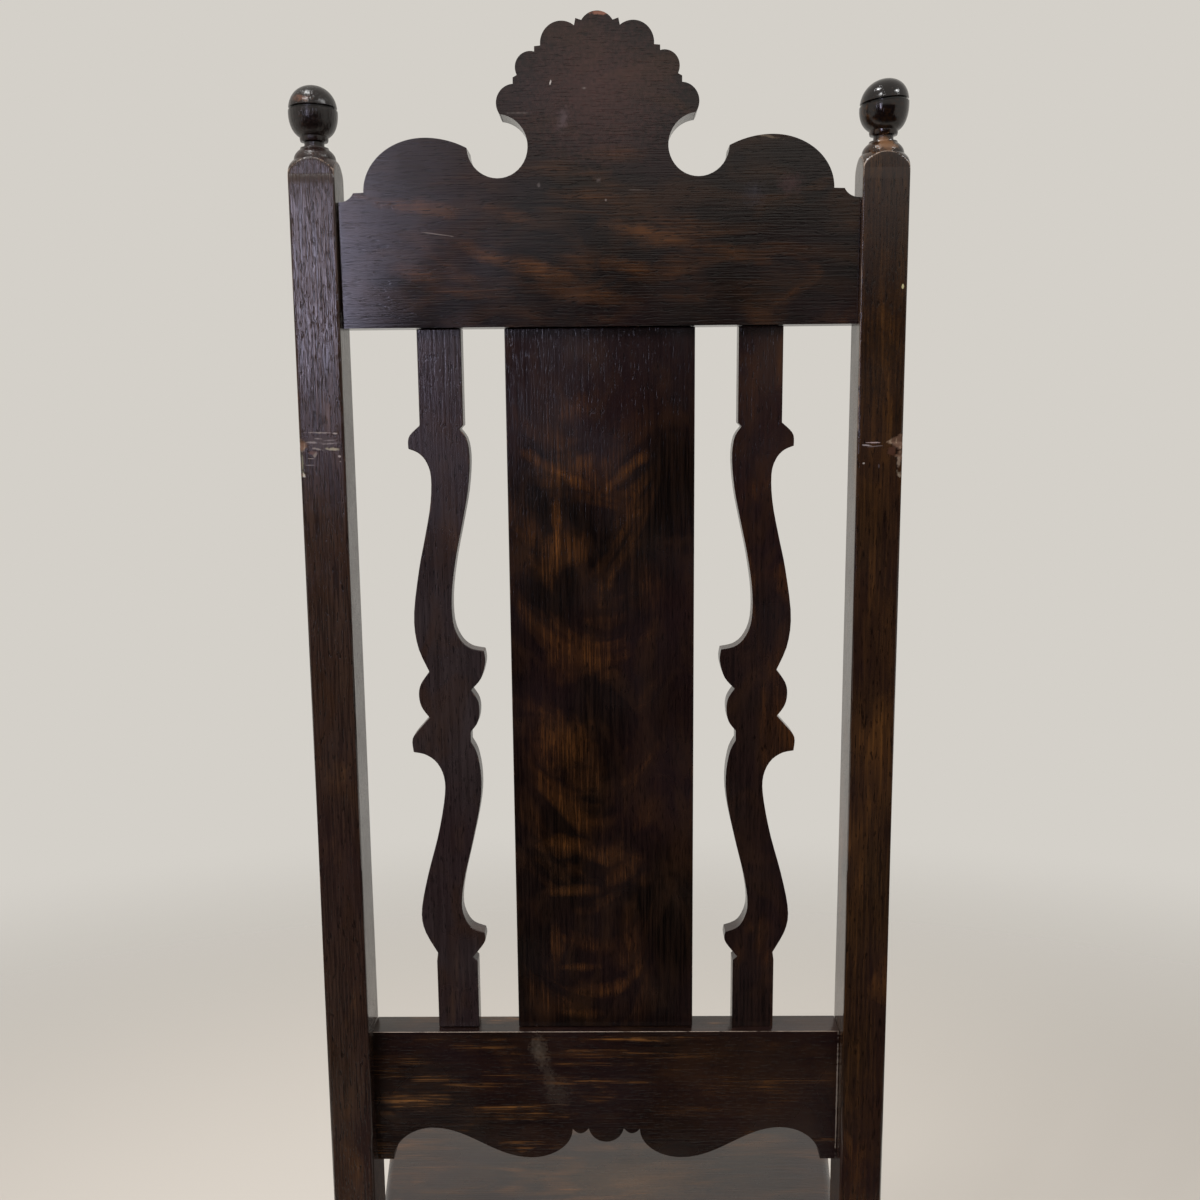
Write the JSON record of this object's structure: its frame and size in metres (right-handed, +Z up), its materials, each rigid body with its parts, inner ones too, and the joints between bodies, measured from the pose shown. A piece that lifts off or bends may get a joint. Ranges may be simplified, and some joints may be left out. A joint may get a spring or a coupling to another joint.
{
  "type": "high-back hall chair",
  "caption": "Tall hall chair in dark varnished oak, with a scalloped crest, a plain splat between scroll splats, turned finials, a board seat and turned front legs.",
  "frame": {"origin": "middle of the chair's footprint on the floor", "axes": "+Z up, the chair faces -Y, +X is the chair's left side"},
  "size_m": [0.458, 0.5172, 1.3405],
  "materials": {
    "dark_oak": "fumed oak, nearly black, glossy old varnish with rubbed arrises",
    "figured_oak": "quarter-sawn dark oak with brown figure, glossy old varnish",
    "raw_oak": "unvarnished brown oak inside the seat frame"
  },
  "bodies": {
    "root": {"back_post_left": "dark_oak", "back_post_right": "dark_oak", "scroll_splat_left": "dark_oak", "scroll_splat_right": "dark_oak", "seat_rail_front": "dark_oak", "seat_rail_left": "dark_oak", "seat_rail_right": "dark_oak", "front_leg_left": "dark_oak", "front_leg_right": "dark_oak", "stretcher_left": "dark_oak", "stretcher_right": "dark_oak", "stretcher_rear": "dark_oak", "stretcher_front": "dark_oak", "crest_rail": "figured_oak", "lower_back_rail": "figured_oak", "centre_splat": "figured_oak", "seat_board": "figured_oak", "seat_rail_rear": "raw_oak", "corner_block_rear_left": "raw_oak", "corner_block_rear_right": "raw_oak", "corner_block_front_left": "raw_oak", "corner_block_front_right": "raw_oak"}
  },
  "joints": []
}
